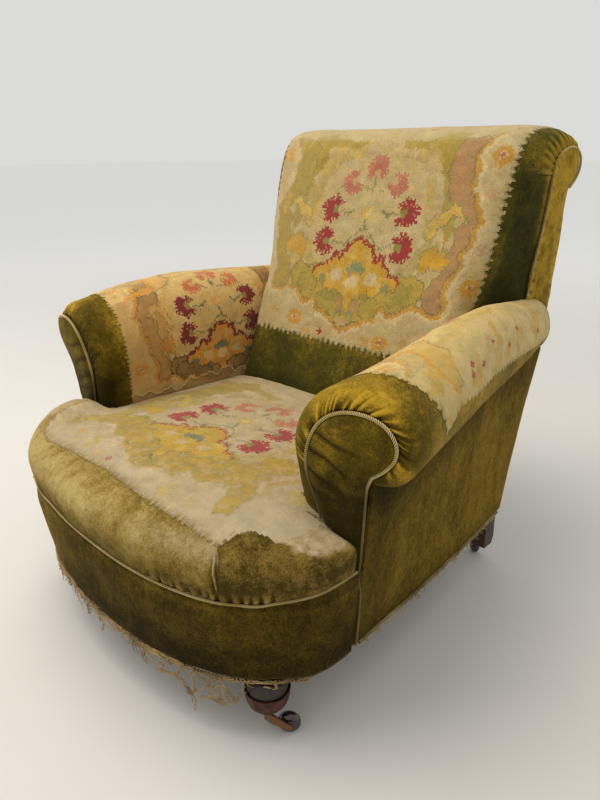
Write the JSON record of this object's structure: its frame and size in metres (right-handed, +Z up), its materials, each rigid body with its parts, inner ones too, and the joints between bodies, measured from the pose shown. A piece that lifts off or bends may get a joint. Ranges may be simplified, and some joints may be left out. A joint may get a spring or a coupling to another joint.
{
  "type": "upholstered easy chair",
  "caption": "deep sprung easy chair with a bowed front, rolled arms and a reclined scrolled back, covered in plush with carpet panels, on castors",
  "frame": {"origin": "on the floor below the middle of the chair's bounding box", "axes": "+Z up; +X towards the sitter's left hand, which is the chair's right as seen from the front; -Y towards the front, so the bowed front of the seat points along -Y"},
  "size_m": [0.8944, 0.9245, 0.8812],
  "materials": {
    "show_mahogany": "worn polish",
    "frame_beech": "sawn",
    "olive_plush": "worn cut pile",
    "dark_plush": "cut pile",
    "woven_pile": "worn knotted pile",
    "cotton_cord": "twisted",
    "jute_web": "woven",
    "horsehair": "curled hair",
    "spring_steel": "japanned",
    "dull_brass": "tarnished",
    "brown_china": "glazed"
  },
  "bodies": {
    "chair": {"arm_cord_left": "cotton_cord", "arm_cord_right": "cotton_cord", "arm_cover_left": "woven_pile", "arm_cover_right": "woven_pile", "arm_facing_left": "dark_plush", "arm_facing_right": "dark_plush", "arm_rail_left": "frame_beech", "arm_rail_right": "frame_beech", "arm_stuffing_left": "horsehair", "arm_stuffing_right": "horsehair", "back_cord_left": "cotton_cord", "back_cord_right": "cotton_cord", "back_cover": "woven_pile", "back_facing_left": "olive_plush", "back_facing_right": "olive_plush", "back_leg_left": "show_mahogany", "back_leg_right": "show_mahogany", "back_rail": "frame_beech", "back_stuffing": "horsehair", "castor_socket_front_left": "dull_brass", "castor_socket_front_right": "dull_brass", "castor_socket_rear_left": "dull_brass", "castor_socket_rear_right": "dull_brass", "fringe_braid": "cotton_cord", "front_border": "olive_plush", "front_foot_left": "show_mahogany", "front_foot_right": "show_mahogany", "front_post_left": "frame_beech", "front_post_right": "frame_beech", "front_rail": "frame_beech", "lip_cord": "cotton_cord", "outside_arm_left": "olive_plush", "outside_arm_right": "olive_plush", "outside_back": "olive_plush", "seat_cover": "woven_pile", "seat_spring_1": "spring_steel", "seat_spring_2": "spring_steel", "seat_spring_3": "spring_steel", "seat_spring_4": "spring_steel", "seat_spring_5": "spring_steel", "seat_spring_6": "spring_steel", "seat_spring_7": "spring_steel", "seat_spring_8": "spring_steel", "seat_spring_9": "spring_steel", "seat_stuffing": "horsehair", "side_rail_left": "frame_beech", "side_rail_right": "frame_beech", "spring_hessian": "jute_web", "stay_rail": "frame_beech", "top_rail": "frame_beech", "webbing": "jute_web"},
    "castor_front_right": {"castor_horn_front_right": "dull_brass"},
    "wheel_front_right": {"castor_wheel_front_right": "brown_china"},
    "castor_front_left": {"castor_horn_front_left": "dull_brass"},
    "wheel_front_left": {"castor_wheel_front_left": "brown_china"},
    "castor_rear_right": {"castor_horn_rear_right": "dull_brass"},
    "wheel_rear_right": {"castor_wheel_rear_right": "brown_china"},
    "castor_rear_left": {"castor_horn_rear_left": "dull_brass"},
    "wheel_rear_left": {"castor_wheel_rear_left": "brown_china"}
  },
  "joints": [
    {"name": "swivel_front_right", "type": "hinge", "parent": "chair", "child": "castor_front_right", "pos_m": [0.283, -0.3445, 0.04], "axis": [0, 0, 1], "continuous": true},
    {"name": "spin_front_right", "type": "hinge", "parent": "castor_front_right", "child": "wheel_front_right", "pos_m": [0.30828, -0.32329, 0.018], "axis": [-0.6428, 0.766, 0], "continuous": true},
    {"name": "swivel_front_left", "type": "hinge", "parent": "chair", "child": "castor_front_left", "pos_m": [-0.283, -0.3445, 0.04], "axis": [0, 0, 1], "continuous": true},
    {"name": "spin_front_left", "type": "hinge", "parent": "castor_front_left", "child": "wheel_front_left", "pos_m": [-0.31401, -0.35579, 0.018], "axis": [0.342, -0.9397, 0], "continuous": true},
    {"name": "swivel_rear_right", "type": "hinge", "parent": "chair", "child": "castor_rear_right", "pos_m": [0.28, 0.303, 0.028], "axis": [0, 0, 1], "continuous": true},
    {"name": "spin_rear_right", "type": "hinge", "parent": "castor_rear_right", "child": "wheel_rear_right", "pos_m": [0.26358, 0.3074, 0.0125], "axis": [-0.2588, -0.9659, 0], "continuous": true},
    {"name": "swivel_rear_left", "type": "hinge", "parent": "chair", "child": "castor_rear_left", "pos_m": [-0.28, 0.303, 0.028], "axis": [0, 0, 1], "continuous": true},
    {"name": "spin_rear_left", "type": "hinge", "parent": "castor_rear_left", "child": "wheel_rear_left", "pos_m": [-0.2715, 0.31772, 0.0125], "axis": [-0.866, 0.5, 0], "continuous": true}
  ]
}
